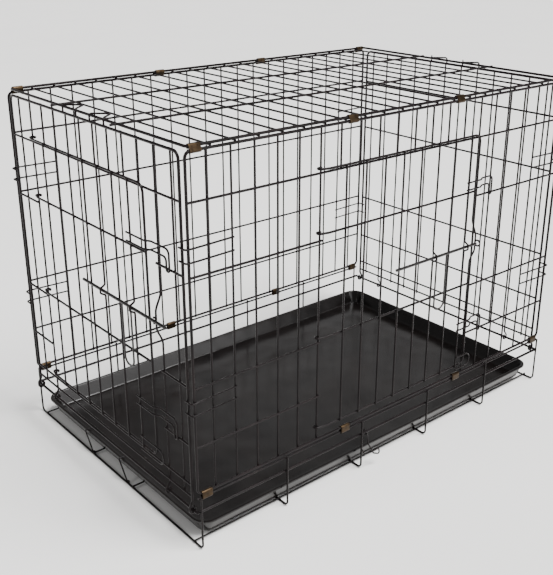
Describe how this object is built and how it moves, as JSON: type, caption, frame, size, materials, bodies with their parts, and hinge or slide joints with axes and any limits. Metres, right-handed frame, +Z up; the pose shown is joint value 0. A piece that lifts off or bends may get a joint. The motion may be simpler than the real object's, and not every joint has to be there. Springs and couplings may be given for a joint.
{
  "type": "wire dog crate",
  "caption": "Folding wire dog crate with a hinged front door, a hinged side door, slide bolts, fold-in ends and a slide-out floor tray.",
  "frame": {"origin": "on the floor under the middle of the crate's frame", "axes": "+X along the crate towards the rear end, -X the front end with its door, -Y the near long side with its door, +Z up"},
  "size_m": [0.9316, 0.5921, 0.6746],
  "materials": {
    "black_wire": "black electro-coated steel wire, satin, faintly brown",
    "black_bolt": "black electro-coated steel rod, satin",
    "black_tray": "black satin moulded plastic",
    "bronze_clip": "brown bronze-plated sheet steel"
  },
  "bodies": {
    "crate_frame": {"base_rail_near": "black_wire", "base_rail_far": "black_wire", "base_rail_front": "black_wire", "base_rail_rear": "black_wire", "base_upper_rail_near": "black_wire", "base_upper_rail_far": "black_wire", "foot_wire_1": "black_wire", "foot_wire_2": "black_wire", "foot_wire_3": "black_wire", "foot_wire_4": "black_wire", "foot_wire_5": "black_wire", "foot_wire_6": "black_wire", "floor_wire_1": "black_wire", "floor_wire_2": "black_wire", "floor_wire_3": "black_wire", "floor_wire_4": "black_wire", "near_side_panel": "black_wire", "far_side_panel": "black_wire", "top_panel": "black_wire", "top_clip_near_1": "bronze_clip", "top_clip_near_2": "bronze_clip", "top_clip_near_3": "bronze_clip", "top_clip_near_4": "bronze_clip", "top_clip_far_1": "bronze_clip", "top_clip_far_2": "bronze_clip", "top_clip_far_3": "bronze_clip", "top_clip_far_4": "bronze_clip", "base_clip_near_1": "bronze_clip", "base_clip_near_2": "bronze_clip", "base_clip_near_3": "bronze_clip", "base_clip_near_4": "bronze_clip", "base_clip_far_1": "bronze_clip", "base_clip_far_2": "bronze_clip", "base_clip_far_3": "bronze_clip", "base_clip_far_4": "bronze_clip"},
    "front_end": {"front_end_panel": "black_wire", "front_top_hook_1": "black_wire", "front_top_hook_2": "black_wire"},
    "rear_end": {"rear_end_panel": "black_wire", "rear_top_hook_1": "black_wire", "rear_top_hook_2": "black_wire"},
    "front_door_leaf": {"front_door": "black_wire"},
    "side_door_leaf": {"side_door": "black_wire"},
    "front_bolt": {"front_slide_bolt": "black_bolt"},
    "side_bolt": {"side_slide_bolt": "black_bolt"},
    "floor_tray": {"tray": "black_tray"},
    "tray_hook_left": {"tray_hook_1": "black_wire"},
    "tray_hook_right": {"tray_hook_2": "black_wire"},
    "hanging_clip": {"fold_clip": "black_wire"}
  },
  "joints": [
    {"name": "front_end_fold", "type": "hinge", "parent": "crate_frame", "child": "front_end", "pos_m": [-0.453, 0, 0.071], "axis": [0, -1, 0], "range_deg": [-88, 0], "deforming": ["front_top_hook_1", "front_top_hook_2"]},
    {"name": "rear_end_fold", "type": "hinge", "parent": "crate_frame", "child": "rear_end", "pos_m": [0.453, 0, 0.071], "axis": [0, -1, 0], "range_deg": [0, 84], "deforming": ["rear_top_hook_1", "rear_top_hook_2"]},
    {"name": "front_door_swing", "type": "hinge", "parent": "front_end", "child": "front_door_leaf", "pos_m": [-0.4497, 0.2007, 0.36], "axis": [0, 0, -1], "range_deg": [0, 155]},
    {"name": "side_door_swing", "type": "hinge", "parent": "crate_frame", "child": "side_door_leaf", "pos_m": [-0.1962, -0.2802, 0.36], "axis": [0, 0, -1], "range_deg": [0, 150]},
    {"name": "front_bolt_slide", "type": "slide", "parent": "front_door_leaf", "child": "front_bolt", "axis": [0, 1, 0], "range_m": [0, 0.046]},
    {"name": "side_bolt_slide", "type": "slide", "parent": "side_door_leaf", "child": "side_bolt", "axis": [1, 0, 0], "range_m": [0, 0.02]},
    {"name": "tray_slide", "type": "slide", "parent": "crate_frame", "child": "floor_tray", "axis": [1, 0, 0], "range_m": [0, 0.86]},
    {"name": "tray_hook_left_turn", "type": "hinge", "parent": "crate_frame", "child": "tray_hook_left", "pos_m": [-0.448, -0.05, 0.0018], "axis": [0, -1, 0], "range_deg": [0, 90]},
    {"name": "tray_hook_right_turn", "type": "hinge", "parent": "crate_frame", "child": "tray_hook_right", "pos_m": [-0.448, 0.076, 0.0018], "axis": [0, -1, 0], "range_deg": [0, 90]},
    {"name": "hanging_clip_swing", "type": "hinge", "parent": "crate_frame", "child": "hanging_clip", "pos_m": [-0.0756, -0.2835, 0.071], "axis": [-1, 0, 0], "range_deg": [0, 75]}
  ]
}
